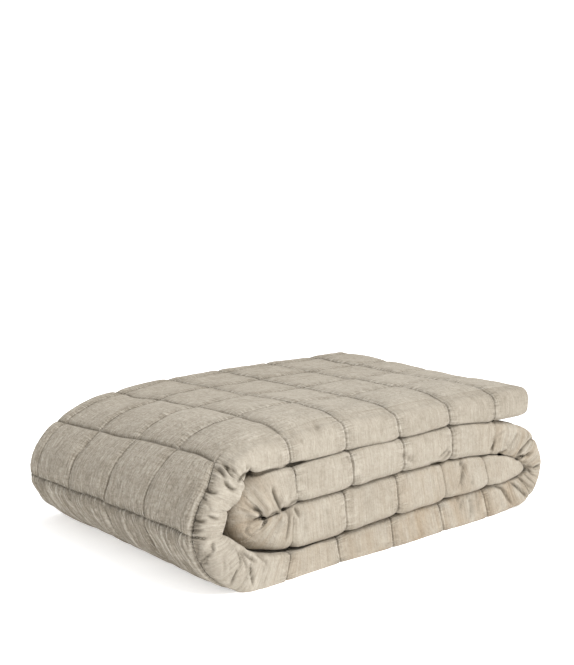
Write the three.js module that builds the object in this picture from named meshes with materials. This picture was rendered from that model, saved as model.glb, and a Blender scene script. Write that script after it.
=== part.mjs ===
// Quilted bedspread, folded for a shelf: one padded sheet, doubled twice along its length into a strip
// of four thicknesses, and the strip then folded into four layers that wind loosely into each other.
import * as THREE from 'three';

// Driving sizes, in millimetres
const SQUARE = 94; // one quilting square, seam to seam
const STRIP_DEPTH = 4.3; // squares from the front rim's seam to the hems at the back
const RIM_DEPTH = 0.25; // how far the folded rim stands in front of its seam, in squares
const CLOTH_GAP = 0.03; // half the slit between two thicknesses of cloth, as a share of half the strip
const PUFF_FREE = 0.05; // crown of a square on a face that lies open, in squares
const PUFF_RIM = 0.045; // crown of a square on the rim, in squares
const GROOVE_PRESSED = 0.02; // depth of a seam on a face that another layer presses flat, in squares
const HEM_THIN = 0.4; // thickness of the cloth at its very end, as a share
const BACK_LIFT = 0.13; // rise of the top at its back right corner, in squares
const BACK_SAG = 0.12; // fall of the top at its back left corner, in squares

// The strip's section in the front plane, in squares, from the free end on top to the end inside.
// seam counts the cross seams from the free end; out and in are the two faces of the strip;
// back is how far the rim is set back there.
const SECTIONS = [
  // top layer
  { seam: 0.08, outX: 4.96, outZ: 1.93, inX: 4.94, inZ: 1.53, back: 0 },
  { seam: 1, outX: 4.12, outZ: 1.985, inX: 4.1, inZ: 1.52, back: 0 },
  { seam: 2, outX: 3.08, outZ: 1.99, inX: 3.08, inZ: 1.58, back: 0 },
  { seam: 3, outX: 2.02, outZ: 1.965, inX: 2.04, inZ: 1.535, back: 0 },
  { seam: 5, outX: 0, outZ: 1.915, inX: 0.02, inZ: 1.45, back: 0 },
  // outer fold at the left
  { seam: 5.6, outX: -0.6, outZ: 1.81, inX: -0.5, inZ: 1.45, back: 0 },
  { seam: 6, outX: -0.99, outZ: 1.59, inX: -0.84, inZ: 1.28, back: 0 },
  { seam: 6.5, outX: -1.38, outZ: 1.22, inX: -1.05, inZ: 1.06, back: 0 },
  { seam: 7, outX: -1.52, outZ: 0.76, inX: -1.12, inZ: 0.82, back: 0 },
  { seam: 7.5, outX: -1.34, outZ: 0.3, inX: -1.02, inZ: 0.6, back: -0.05 },
  { seam: 8, outX: -0.92, outZ: 0.02, inX: -0.68, inZ: 0.41, back: -0.12 },
  // bottom layer
  { seam: 9, outX: 0, outZ: 0, inX: -0.03, inZ: 0.285, back: -0.16 },
  { seam: 11, outX: 1.98, outZ: 0, inX: 1.92, inZ: 0.395, back: -0.15 },
  { seam: 13, outX: 4.06, outZ: 0, inX: 3.95, inZ: 0.47, back: -0.08 },
  // fold at the right
  { seam: 13.5, outX: 4.56, outZ: 0.02, inX: 4.42, inZ: 0.475, back: 0 },
  { seam: 14, outX: 5.02, outZ: 0.16, inX: 4.74, inZ: 0.5, back: 0 },
  { seam: 14.5, outX: 5.27, outZ: 0.62, inX: 4.96, inZ: 0.61, back: 0 },
  { seam: 15, outX: 5.09, outZ: 1.12, inX: 4.74, inZ: 0.8, back: 0 },
  { seam: 15.5, outX: 4.66, outZ: 1.34, inX: 4.46, inZ: 0.91, back: 0 },
  // second layer
  { seam: 16, outX: 4.16, outZ: 1.465, inX: 4.05, inZ: 0.99, back: 0 },
  { seam: 17, outX: 3.13, outZ: 1.545, inX: 3.1, inZ: 1.05, back: 0 },
  { seam: 18, outX: 2.1, outZ: 1.505, inX: 2.08, inZ: 1.035, back: 0 },
  { seam: 19, outX: 1.1, outZ: 1.465, inX: 1.1, inZ: 0.978, back: 0 },
  { seam: 20, outX: 0.08, outZ: 1.42, inX: 0.1, inZ: 0.92, back: 0 },
  // inner fold at the left
  { seam: 20.5, outX: -0.44, outZ: 1.4, inX: -0.16, inZ: 0.91, back: 0.02 },
  { seam: 21, outX: -0.8, outZ: 1.2, inX: -0.34, inZ: 0.91, back: 0.03 },
  { seam: 21.5, outX: -0.92, outZ: 0.86, inX: -0.44, inZ: 0.84, back: 0.04 },
  { seam: 22, outX: -0.76, outZ: 0.53, inX: -0.34, inZ: 0.78, back: 0.03 },
  { seam: 22.5, outX: -0.4, outZ: 0.36, inX: -0.14, inZ: 0.8, back: 0.02 },
  // third layer
  { seam: 23, outX: 0.02, outZ: 0.312, inX: 0.06, inZ: 0.88, back: 0 },
  { seam: 24, outX: 0.98, outZ: 0.35, inX: 0.98, inZ: 0.945, back: 0 },
  { seam: 25, outX: 1.98, outZ: 0.423, inX: 1.98, inZ: 1.008, back: 0 },
  { seam: 27, outX: 3.98, outZ: 0.498, inX: 3.86, inZ: 0.97, back: 0 },
  { seam: 27.6, outX: 4.48, outZ: 0.505, inX: 4.42, inZ: 0.86, back: 0 },
  { seam: 27.95, outX: 4.82, outZ: 0.57, inX: 4.8, inZ: 0.7, back: 0 },
];

// Stretches of the strip, by seam, and where a square has its rows of points there.
const STRETCHES = [
  { name: 'top layer', from: 0.08, to: 5, shares: [0, 0.15, 0.85] },
  { name: 'outer fold', from: 5, to: 8, shares: [0, 0.17, 0.5, 0.83] },
  { name: 'bottom layer', from: 8, to: 13, shares: [0, 0.15, 0.85] },
  { name: 'right fold', from: 13, to: 16, shares: [0, 0.17, 0.5, 0.83] },
  { name: 'second layer', from: 16, to: 20, shares: [0, 0.15, 0.85] },
  { name: 'inner fold', from: 20, to: 23, shares: [0, 0.17, 0.5, 0.83] },
  { name: 'third layer', from: 23, to: 27.95, shares: [0, 0.15, 0.85] },
];

// Creases that run across the rim where a fold crowds the cloth: depth in squares.
const CREASES = [
  { seam: 5.5, depth: 0.07 },
  { seam: 6.5, depth: 0.09 },
  { seam: 7.2, depth: 0.07 },
  { seam: 14.5, depth: 0.05 },
  { seam: 15.2, depth: 0.05 },
  { seam: 20.8, depth: 0.08 },
  { seam: 21.5, depth: 0.08 },
  { seam: 22.2, depth: 0.07 },
];

const clamp = THREE.MathUtils.clamp;
const smoothstep = THREE.MathUtils.smoothstep;

// Value of one column of the section table at any place along the strip: a smooth curve through the rows.
function slopeAt(row, column) {
  const before = SECTIONS[Math.max(row - 1, 0)];
  const here = SECTIONS[row];
  const after = SECTIONS[Math.min(row + 1, SECTIONS.length - 1)];
  if (before === here || after === here) {
    return (after[column] - before[column]) / (after.seam - before.seam);
  }
  const spanBefore = here.seam - before.seam;
  const spanAfter = after.seam - here.seam;
  const slopeBefore = (here[column] - before[column]) / spanBefore;
  const slopeAfter = (after[column] - here[column]) / spanAfter;
  return (slopeBefore * spanAfter + slopeAfter * spanBefore) / (spanBefore + spanAfter);
}

function along(seam, column) {
  let row = 0;
  while (row < SECTIONS.length - 2 && SECTIONS[row + 1].seam <= seam) {
    row += 1;
  }
  const start = SECTIONS[row];
  const end = SECTIONS[row + 1];
  const span = end.seam - start.seam;
  const t = (seam - start.seam) / span;
  const risingPart = t * t * (3 - 2 * t);
  const startTangent = t * (1 - t) * (1 - t) * span * slopeAt(row, column);
  const endTangent = t * t * (t - 1) * span * slopeAt(row + 1, column);
  return start[column] * (1 - risingPart) + end[column] * risingPart + startTangent + endTangent;
}

// Distance to the nearest seam, 0 to 0.5.
function fromSeam(place) {
  return Math.abs(place - Math.round(place));
}

// Crown of a square between two seams, 0 on the seam and 1 in the middle.
function crown(place) {
  return 1 - (1 - 2 * fromSeam(place)) ** 5;
}

// A seam's groove in a pressed face, 1 on the seam and 0 a seventh of a square away.
function groove(place) {
  return clamp(1 - fromSeam(place) / 0.15, 0, 1);
}

// How open the outer face lies: 1 on the top and round the folds, 0 between layers and on the floor.
function openness(seam) {
  const toFloor = 1 - smoothstep(seam, 7.9, 8.3);
  const rightFold = smoothstep(seam, 13.3, 13.9) * (1 - smoothstep(seam, 15.9, 16.4));
  const innerFold = smoothstep(seam, 20.3, 20.8) * (1 - smoothstep(seam, 22.2, 22.7));
  return Math.max(toFloor, rightFold, innerFold);
}

function creaseAt(seam) {
  const reach = 0.16;
  let depth = 0;
  for (const crease of CREASES) {
    depth += crease.depth * clamp(1 - Math.abs(seam - crease.seam) / reach, 0, 1);
  }
  return depth;
}

// Small unevenness from square to square.
function uneven(seam, cross) {
  return 1 + 0.18 * Math.sin(1.9 * Math.floor(seam) + 2.7 * Math.floor(cross) + 0.6);
}

// Places along the strip that get a row of points.
function rowPlaces() {
  const places = [];
  for (const stretch of STRETCHES) {
    for (let square = Math.floor(stretch.from); square < stretch.to; square += 1) {
      for (const share of stretch.shares) {
        const place = square + share;
        if (place >= stretch.from && place < stretch.to) {
          places.push(place);
        }
      }
    }
  }
  const firstEnd = SECTIONS[0].seam;
  const lastEnd = SECTIONS[SECTIONS.length - 1].seam;
  const inside = places.filter((place) => place > firstEnd + 0.15 && place < lastEnd - 0.12);
  return [firstEnd, firstEnd + 0.04, firstEnd + 0.12, ...inside, lastEnd - 0.08, lastEnd - 0.03, lastEnd];
}

// The strip's outline across its depth. deep is the distance behind the rim's seam in squares, level
// runs from 1 on the outer face to -1 on the inner one, and midDeep and midLevel are the middle of the
// cloth beside the point. turn is the angle round the rim, and cross counts the long seams.
function outline() {
  const points = [];
  const add = (deep, level, midDeep, midLevel, extra = {}) => {
    points.push({ deep, level, midDeep, midLevel, face: 'hidden', turn: 0, cross: 0, ...extra });
  };
  const back = STRIP_DEPTH;
  const hemRound = 0.1;
  const backRound = 0.14;
  const outerMid = 0.75;
  const innerMid = 0.25;
  const boxy = 2 / 3.6;

  // outer face, from the hem at the back to the rim
  const shares = [0.85, 0.15, 0];
  add(back - hemRound, 1, back - hemRound, outerMid, { face: 'outer', cross: 4 - back + hemRound });
  add(4, 1, 4, outerMid, { face: 'outer', cross: 0 });
  for (let square = 3; square >= 0; square -= 1) {
    for (const share of shares) {
      const deep = square + share;
      if (deep > 0) {
        add(deep, 1, deep, outerMid, { face: 'outer', cross: 4 - deep });
      }
    }
  }
  // the folded rim, a half turn from the outer face to the inner one
  const rimSteps = 8;
  for (let step = 0; step <= rimSteps; step += 1) {
    const turn = (Math.PI * step) / rimSteps;
    const forward = Math.sin(turn) ** boxy;
    const level = Math.sign(Math.cos(turn)) * Math.abs(Math.cos(turn)) ** boxy;
    add(-RIM_DEPTH * forward, level, -RIM_DEPTH * 0.78 * forward, outerMid * level, { face: 'rim', turn });
  }
  // inner face, back to the long fold at the back
  for (const deep of [0.15, 1, 2, 3, 4, back - backRound]) {
    add(deep, -1, deep, -outerMid, { face: 'inner', cross: deep });
  }
  // the long fold at the back joins the two lower thicknesses
  add(back - 0.03, -0.85, back - backRound, -outerMid);
  add(back, -0.5, back - 0.07, -0.5);
  add(back - 0.03, -0.15, back - backRound, -innerMid);
  add(back - backRound, -CLOTH_GAP, back - backRound, -innerMid);
  // slit between the two inner thicknesses
  const slitEnd = -0.01;
  add(0.1, -CLOTH_GAP, 0.1, -innerMid);
  add(slitEnd, 0, slitEnd - 0.06, 0);
  add(0.1, CLOTH_GAP, 0.1, innerMid);
  // the inner thickness's hem at the back, a little short of the outer one
  const innerHem = back - 0.06;
  add(innerHem - hemRound, CLOTH_GAP, innerHem - hemRound, innerMid);
  add(innerHem, innerMid, innerHem - hemRound, innerMid);
  add(innerHem - hemRound, 0.5 - CLOTH_GAP, innerHem - hemRound, innerMid);
  // slit between the outer and the inner doubling, round the inner fold
  const foldFront = -RIM_DEPTH * 0.56;
  add(0, 0.5 - CLOTH_GAP, 0, innerMid);
  add(foldFront * 0.75, 0.3, foldFront * 0.4, 0.12);
  add(foldFront, 0, foldFront * 0.5, 0);
  add(foldFront * 0.75, -0.3, foldFront * 0.4, -0.12);
  add(0, -0.5 + CLOTH_GAP, 0, -innerMid);
  add(back - 0.24, -0.5 + CLOTH_GAP, back - 0.24, -innerMid);
  add(back - 0.2, -0.5, back - 0.08, -0.5);
  add(back - 0.24, -0.5 - CLOTH_GAP, back - 0.24, -outerMid);
  add(0, -0.5 - CLOTH_GAP, 0, -outerMid);
  const turnFront = foldFront - 0.016;
  add(turnFront * 0.78, -0.34, -RIM_DEPTH * 0.6, -0.5);
  add(turnFront, 0, -RIM_DEPTH * 0.78, 0);
  add(turnFront * 0.78, 0.34, -RIM_DEPTH * 0.6, 0.5);
  add(0, 0.5 + CLOTH_GAP, 0, outerMid);
  add(back - hemRound, 0.5 + CLOTH_GAP, back - hemRound, outerMid);
  add(back, outerMid, back - hemRound, outerMid);
  return points;
}

// How far a point stands out from the plain strip, in squares.
function standOut(seam, point) {
  if (point.face === 'outer') {
    const open = openness(seam);
    const pillow = crown(seam) * crown(point.cross) * uneven(seam, point.cross);
    const pressed = Math.max(groove(seam), groove(point.cross));
    return open * PUFF_FREE * pillow - (1 - open) * GROOVE_PRESSED * pressed;
  }
  if (point.face === 'rim') {
    const forward = Math.sin(point.turn) ** 2;
    const inward = smoothstep(point.turn, 0.25 * Math.PI, 0.7 * Math.PI);
    return PUFF_RIM * forward * crown(seam) - creaseAt(seam) * forward * inward;
  }
  if (point.face === 'inner') {
    return -GROOVE_PRESSED * Math.max(groove(seam), groove(point.cross));
  }
  return 0;
}

// The cloth's ends are hems: each thickness thins out towards its own middle.
function hemShare(seam) {
  const toEnd = Math.min(seam - SECTIONS[0].seam, SECTIONS[SECTIONS.length - 1].seam - seam);
  const round = 0.12;
  const inside = clamp(toEnd / round, 0, 1);
  return HEM_THIN + (1 - HEM_THIN) * Math.sqrt(1 - (1 - inside) ** 2);
}

// On the floor the rim is squeezed down, so that it stands on the floor nearly to its front.
function settle(seam, point) {
  const onFloor = smoothstep(seam, 8.2, 9) * (1 - smoothstep(seam, 12.8, 13.5));
  if (point.face !== 'rim' || point.turn > Math.PI / 2) {
    return point.level;
  }
  return THREE.MathUtils.lerp(point.level, point.level ** 0.4, onFloor);
}

// A point of the folded bedspread, in millimetres.
function place(seam, point) {
  const share = hemShare(seam);
  const level = point.midLevel + (settle(seam, point) - point.midLevel) * share;
  const deep = point.midDeep + (point.deep - point.midDeep) * share;
  const outX = along(seam, 'outX');
  const outZ = along(seam, 'outZ');
  const inX = along(seam, 'inX');
  const inZ = along(seam, 'inZ');
  const thickness = Math.hypot(outX - inX, outZ - inZ);
  const sideX = (outX - inX) / thickness;
  const sideZ = (outZ - inZ) / thickness;
  const out = standOut(seam, point) * (share - HEM_THIN) / (1 - HEM_THIN);
  const sideways = point.face === 'rim' ? Math.cos(point.turn) : Math.sign(point.level);
  const forward = point.face === 'rim' ? Math.sin(point.turn) : 0;
  const x = (outX + inX) / 2 + ((outX - inX) / 2) * level + sideX * sideways * out;
  const zFlat = (outZ + inZ) / 2 + ((outZ - inZ) / 2) * level + sideZ * sideways * out;
  const y = deep - forward * out + along(seam, 'back') * Math.exp(-Math.max(deep, 0));
  const height = clamp((zFlat - 0.3) / 1.6, 0, 1);
  const lift = BACK_LIFT * clamp((x - 1) / 4, 0, 1) * clamp(y / 4, 0, 1.1);
  const sag = BACK_SAG * clamp((1.5 - x) / 2.5, 0, 1) * smoothstep(y, 2, STRIP_DEPTH);
  return [x * SQUARE, y * SQUARE, Math.max(zFlat + (lift - sag) * height, 0) * SQUARE];
}

// One closed surface: the outline carried along the strip, with a flat cap on each end.
function foldedCloth() {
  const rows = rowPlaces();
  const points = outline();
  const positions = [];
  for (const seam of rows) {
    for (const point of points) {
      positions.push(...place(seam, point));
    }
  }
  const count = points.length;
  const indices = [];
  for (let row = 0; row < rows.length - 1; row += 1) {
    for (let column = 0; column < count; column += 1) {
      const next = (column + 1) % count;
      const a = row * count + column;
      const b = row * count + next;
      const c = (row + 1) * count + next;
      const d = (row + 1) * count + column;
      if (points[next].deep >= points[column].deep) {
        indices.push(a, c, b, a, d, c);
      } else {
        indices.push(a, d, b, b, d, c);
      }
    }
  }
  const lastRow = (rows.length - 1) * count;
  const share = hemShare(rows[0]);
  const flat = points.map((point) => new THREE.Vector2(
    point.midDeep + (point.deep - point.midDeep) * share,
    point.midLevel + (point.level - point.midLevel) * share,
  ));
  for (const [a, b, c] of THREE.ShapeUtils.triangulateShape(flat, [])) {
    indices.push(a, b, c);
    indices.push(lastRow + a, lastRow + c, lastRow + b);
  }
  const geometry = new THREE.BufferGeometry();
  geometry.setAttribute('position', new THREE.Float32BufferAttribute(positions, 3));
  geometry.setIndex(indices);
  geometry.computeBoundingBox();
  const middle = geometry.boundingBox.getCenter(new THREE.Vector3());
  geometry.translate(-middle.x, -middle.y, -geometry.boundingBox.min.z);
  geometry.computeVertexNormals();
  return geometry;
}

// Washed velvet, stone coloured
const velvet = new THREE.MeshStandardMaterial({ color: 0xb9ad98, roughness: 0.95, metalness: 0 });

const bedspread = new THREE.Mesh(foldedCloth(), velvet);
bedspread.name = 'bedspread';

const model = new THREE.Group();
model.add(bedspread);

export default model;
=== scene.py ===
"""Looks of the folded quilted bedspread: fine surface, sewing thread, velvet, floor, light and camera."""

import math

import bpy
import numpy as np
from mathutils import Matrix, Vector


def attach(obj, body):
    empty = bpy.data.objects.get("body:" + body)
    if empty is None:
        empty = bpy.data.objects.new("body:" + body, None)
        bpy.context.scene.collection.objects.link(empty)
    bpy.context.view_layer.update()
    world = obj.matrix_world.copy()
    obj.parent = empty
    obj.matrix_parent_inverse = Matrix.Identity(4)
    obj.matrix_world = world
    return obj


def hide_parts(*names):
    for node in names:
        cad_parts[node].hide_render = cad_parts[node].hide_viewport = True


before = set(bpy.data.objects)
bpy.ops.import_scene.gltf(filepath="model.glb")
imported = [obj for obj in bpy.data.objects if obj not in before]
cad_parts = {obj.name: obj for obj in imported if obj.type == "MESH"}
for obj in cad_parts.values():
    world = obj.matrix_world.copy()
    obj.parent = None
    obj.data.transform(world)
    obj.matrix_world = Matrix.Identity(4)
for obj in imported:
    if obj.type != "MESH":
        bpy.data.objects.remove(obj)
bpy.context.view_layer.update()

# Driving sizes. Lengths in the cloth's own frame are in quilting squares.
SQUARE = 0.094  # metres, seam to seam
ZERO_PLACE = (0.1772, 0.1808, 0.0)  # metres from the cloth frame's zero to the row frame's origin
STRIP_DEPTH = 4.3  # from the front rim's seam to the hems at the back
CLOTH_GAP = 0.03  # half the slit between two thicknesses of cloth, as a share of half the strip
HEM_THIN = 0.4  # thickness of the cloth at its very end, as a share
HEM_ROUND = 0.19  # length over which the end rounds off
PUFF_TOP = 0.034  # crown of a square on the top
PUFF_FACE = 0.042  # crown of a square on a face that hangs or turns
PUFF_RIM = 0.028  # crown of a square on the rim
GROOVE_PRESSED = 0.02  # depth of a seam on a face that another layer presses flat
STITCH_DENT = 0.02  # the thin dent that the thread pulls in, below the crown's foot
THREAD_REACH = 0.013  # how far that dent reaches to each side
FRONT_REACH = 0.3  # how far back the faces feel that the seam along the front is missing
LAST_SEAM = 28  # number of the cross seam at the strip's end inside the right fold
SAME_PLACE = 1e-6  # places closer than this are one

# The strip's section in the front plane: seam, outer x and z, inner x and z.
SECTIONS = np.array([
    # top layer
    (0.08, 4.96, 1.93, 4.94, 1.53),
    (1, 4.12, 1.985, 4.1, 1.52),
    (2, 3.08, 1.99, 3.08, 1.58),
    (3, 2.02, 1.965, 2.04, 1.535),
    (5, 0, 1.915, 0.02, 1.45),
    # outer fold at the left
    (5.6, -0.6, 1.8, -0.5, 1.45),
    (6, -0.99, 1.59, -0.84, 1.28),
    (6.5, -1.38, 1.22, -1.05, 1.06),
    (7, -1.52, 0.76, -1.12, 0.82),
    (7.5, -1.34, 0.3, -1.02, 0.6),
    (8, -0.92, 0.02, -0.68, 0.41),
    # bottom layer
    (9, 0, 0, -0.03, 0.285),
    (11, 1.98, 0, 1.92, 0.395),
    (13, 4.06, 0, 3.95, 0.47),
    # fold at the right
    (13.5, 4.62, 0.01, 4.44, 0.475),
    (14, 5.06, 0.14, 4.74, 0.5),
    (14.5, 5.27, 0.62, 4.96, 0.61),
    (15, 5.09, 1.12, 4.74, 0.8),
    (15.5, 4.66, 1.34, 4.46, 0.91),
    # second layer
    (16, 4.16, 1.465, 4.05, 0.99),
    (17, 3.13, 1.545, 3.1, 1.05),
    (18, 2.1, 1.505, 2.08, 1.035),
    (19, 1.1, 1.465, 1.1, 0.978),
    (20, 0.08, 1.42, 0.1, 0.92),
    # inner fold at the left
    (20.5, -0.44, 1.4, -0.16, 0.91),
    (21, -0.8, 1.2, -0.34, 0.91),
    (21.5, -0.92, 0.86, -0.44, 0.84),
    (22, -0.76, 0.53, -0.34, 0.78),
    (22.5, -0.4, 0.36, -0.14, 0.8),
    # third layer
    (23, 0.02, 0.312, 0.06, 0.88),
    (24, 0.98, 0.35, 0.98, 0.945),
    (25, 1.98, 0.423, 1.98, 1.008),
    (27, 3.98, 0.498, 3.86, 0.97),
    (27.6, 4.48, 0.525, 4.42, 0.89),
    (27.95, 4.87, 0.62, 4.85, 0.75),
])
SEAM, OUT_X, OUT_Z, IN_X, IN_Z = range(5)

# Where the crowded cloth bulges in lobes inside the two folds at the left: seam, inner x and z at the rim.
OUTER_FOLD_LOBES = np.array([
    (5.0, 0.02, 1.45), (5.4, -0.4, 1.43), (5.6, -0.6, 1.45), (5.68, -0.66, 1.5), (5.76, -0.7, 1.44),
    (5.9, -0.77, 1.36), (6.08, -0.78, 1.33), (6.25, -0.78, 1.26), (6.4, -0.89, 1.12), (6.5, -1.03, 1.05),
    (6.56, -1.12, 1.04), (6.65, -1.06, 1.0), (6.8, -1.08, 0.88), (6.95, -1.12, 0.79),
    (7.02, -1.15, 0.73), (7.15, -1.09, 0.69), (7.5, -0.97, 0.6), (8, -0.78, 0.47), (8.5, -0.42, 0.35),
    (9, -0.03, 0.285),
])
INNER_FOLD_LOBES = np.array([
    (20, 0.17, 0.905), (20.1, 0.08, 0.885), (20.22, -0.02, 0.87), (20.29, -0.075, 0.89),
    (20.33, -0.095, 0.95), (20.38, -0.12, 0.87), (20.55, -0.19, 0.82), (20.8, -0.29, 0.778),
    (21.05, -0.37, 0.79), (21.16, -0.43, 0.83), (21.28, -0.43, 0.805), (21.5, -0.45, 0.785),
    (21.7, -0.4, 0.76), (21.88, -0.345, 0.752), (21.94, -0.34, 0.735), (22.02, -0.285, 0.762),
    (22.15, -0.21, 0.78), (22.35, -0.11, 0.805), (22.6, -0.01, 0.83), (23, 0.08, 0.865),
])

# How the rim gives way under its own weight: seam, drop of the upper edge, its lean backwards, step of the
# outer edge along X, set-back of the whole rim, reach of the rim in front of its seam.
RIM_FORM = np.array([
    (0, 0, 0, 0, 0, 0.13),
    (0.6, 0.07, 0.02, 0, 0, 0.13),
    (2, 0.11, 0.02, 0, 0, 0.13),
    (4, 0.12, 0.02, 0, 0, 0.12),
    (5, 0.15, 0.02, 0, 0, 0.11),
    (5.6, 0.1, 0.02, 0, 0, 0.13),
    (6, 0.05, 0, 0, 0, 0.18),
    (6.5, 0, 0, 0, 0, 0.25),
    (7, 0, 0, -0.02, 0, 0.27),
    (7.5, 0, 0, -0.07, -0.13, 0.3),
    (8, 0.02, 0.04, -0.13, -0.19, 0.22),
    (8.5, 0.04, 0.1, -0.24, -0.23, 0.15),
    (9, 0.04, 0.14, -0.29, -0.17, 0.14),
    (9.5, 0.04, 0.14, -0.26, -0.13, 0.13),
    (10, 0.04, 0.14, -0.23, -0.08, 0.13),
    (11, 0.04, 0.12, -0.21, -0.07, 0.13),
    (11.5, 0.04, 0.1, -0.14, -0.05, 0.13),
    (12, 0.04, 0.08, -0.08, -0.02, 0.13),
    (13, 0.03, 0.06, -0.1, 0.01, 0.13),
    (13.5, 0, 0.02, -0.03, 0.02, 0.14),
    (14, 0, 0, 0, 0, 0.15),
    (15.5, 0, 0, 0, 0, 0.15),
    (16, 0, 0.01, 0, 0.04, 0.19),
    (20, 0, 0.01, 0, 0.04, 0.19),
    (20.6, 0, 0, 0, 0.04, 0.15),
    (22.4, 0, 0, 0, 0.04, 0.15),
    (23, 0.01, 0.02, 0, 0.04, 0.18),
    (28, 0.01, 0.02, 0, 0.04, 0.18),
])
DROP, LEAN, OUTER_STEP, RIM_BACK, RIM_REACH = range(1, 6)

# The front rim's long seam wanders along the skin: seam, way towards the rim.
FRONT_SEAM = np.array([
    (0, -0.1), (4, -0.1), (5, -0.08), (5.6, -0.06), (6, -0.17), (6.2, -0.03), (6.35, 0.05), (6.5, 0.075),
    (6.75, 0.08), (7, 0.07), (7.2, 0.04), (7.6, 0.05), (8.2, 0), (9, 0), (28, 0),
])

# How strongly each cross seam shows on the rim and on the faces; 1 where it isn't named
RIM_SEAM_STRENGTH = {
    6: 0.45, 7: 0.3, 8: 0.45, 14: 0.7, 15: 0.3, 16: 0.5, 21: 0.1, 22: 0.15, 23: 0.6, 26: 0.6, 27: 0.7,
}
FACE_SEAM_STRENGTH = {5: 0.75, 6: 0.5, 7: 0.7}

OUTER, RIM, INNER, HIDDEN = range(4)


def hermite(table, column, at):
    """Smooth curve through one column of a table, read at the given seams."""
    key = table[:, 0]
    value = table[:, column]
    step = np.diff(key)
    slope = np.diff(value) / step
    tangent = np.empty(len(key))
    tangent[0] = slope[0]
    tangent[-1] = slope[-1]
    tangent[1:-1] = (slope[:-1] * step[1:] + slope[1:] * step[:-1]) / (step[:-1] + step[1:])
    row = np.clip(np.searchsorted(key, at, side="right") - 1, 0, len(key) - 2)
    span = step[row]
    t = (at - key[row]) / span
    rising = t * t * (3 - 2 * t)
    start = t * (1 - t) ** 2 * span * tangent[row]
    end = t * t * (t - 1) * span * tangent[row + 1]
    return value[row] * (1 - rising) + value[row + 1] * rising + start + end


def linear(table, at):
    """Straight stretches through the second column of a table."""
    return np.interp(at, table[:, 0], table[:, 1])


def smoothstep(value, low, high):
    t = np.clip((value - low) / (high - low), 0, 1)
    return t * t * (3 - 2 * t)


def between(value, rise_from, rise_to, fall_from, fall_to):
    """1 on a stretch, with a soft start and a soft end."""
    return smoothstep(value, rise_from, rise_to) * (1 - smoothstep(value, fall_from, fall_to))


def bell(distance, reach):
    """1 at no distance, falling softly to 0 on both sides."""
    return np.exp(-(distance / reach) ** 2)


def at_each_seam(strengths, seam):
    """The strength of the nearest cross seam."""
    return np.array([strengths.get(k, 1.0) for k in range(LAST_SEAM + 1)])[np.round(seam).astype(int)]


def from_seam(place):
    """Distance to the nearest seam, 0 to 0.5."""
    return np.abs(place - np.round(place))


def crown(place, power=9):
    """Crown of a square between two seams, 0 on the seam and 1 in the middle."""
    return 1 - (1 - 2 * from_seam(place)) ** power


def groove(place):
    """A wide soft valley along a seam, 1 on the seam."""
    return np.clip(1 - from_seam(place) / 0.15, 0, 1)


def lattice(ix, iy, seed):
    """Even random numbers from -1 to 1 on a grid of whole numbers, mixed by large factors."""
    h = (ix.astype(np.int64) * 374761393 + iy.astype(np.int64) * 668265263 + seed * 974634777) & 0xFFFFFFFF
    h = ((h ^ (h >> 13)) * 1274126177) & 0xFFFFFFFF
    h = h ^ (h >> 16)
    return h / 0x7FFFFFFF - 1.0


def noise(x, y, seed):
    """Smooth noise from -1 to 1."""
    ix = np.floor(x)
    iy = np.floor(y)
    fx = x - ix
    fy = y - iy
    fx = fx * fx * (3 - 2 * fx)
    fy = fy * fy * (3 - 2 * fy)
    low = lattice(ix, iy, seed) * (1 - fx) + lattice(ix + 1, iy, seed) * fx
    high = lattice(ix, iy + 1, seed) * (1 - fx) + lattice(ix + 1, iy + 1, seed) * fx
    return low * (1 - fy) + high * fy


def ridges(x, y, seed):
    """Noise with sharp troughs and round crowns, -1 to 1."""
    return 1 - 2 * (1 - np.abs(noise(x, y, seed))) ** 3


# Camera, from the quilting seams' crossings in the photograph
CAMERA_SQUARES = (-9.2, -11.166, 4.889)
CAMERA_PITCH = 0.118  # radians below the horizon
CAMERA_HEADING = 0.693  # radians from +Y towards +X
FOCAL_PIXELS = 1118.2
PHOTO_HEIGHT = 665
SENSOR = 36.0


def to_row_frame(places):
    return np.asarray(places, float) * SQUARE - np.array(ZERO_PLACE)


def make_camera():
    data = bpy.data.cameras.new("camera")
    data.sensor_width = SENSOR
    data.lens = FOCAL_PIXELS / PHOTO_HEIGHT * SENSOR
    data.clip_start = 0.05
    data.clip_end = 60
    camera = bpy.data.objects.new("camera", data)
    camera.location = to_row_frame(CAMERA_SQUARES)
    camera.rotation_euler = (math.pi / 2 - CAMERA_PITCH, 0, -CAMERA_HEADING)
    bpy.context.collection.objects.link(camera)
    bpy.context.scene.camera = camera


# The strip's outline across its depth, as columns of points
COLUMN_FIELDS = ("deep", "level", "mid_deep", "mid_level", "across")


class Outline:
    """Columns of points round the strip's section; across counts along the skin from the rim's seam."""

    def __init__(self):
        self.columns = []

    def add(self, deep, level, mid_deep, mid_level, face, rows, across=0.0):
        self.columns.append((deep, level, mid_deep, mid_level, across, face, rows))

    def field(self, name):
        return np.array([column[COLUMN_FIELDS.index(name)] for column in self.columns])

    def faces(self):
        return np.array([column[5] for column in self.columns])

    def kinds(self):
        return [column[6] for column in self.columns]


def both_halves(half):
    return half + tuple(1 - share for share in half[-2:0:-1])


# Places inside one square, seam to seam: close together at the seams, where the cloth dives in
FINE_SHARES = both_halves(
    (0, 0.008, 0.02, 0.036, 0.058, 0.09, 0.13, 0.18, 0.235, 0.29, 0.34, 0.395, 0.45, 0.5)
)
CROWDED_SHARES = both_halves((0, 0.008, 0.02) + tuple(0.035 + 0.0186 * k for k in range(26)))
BACK_SHARES = both_halves((0, 0.012, 0.04, 0.16, 0.33, 0.5))


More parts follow.
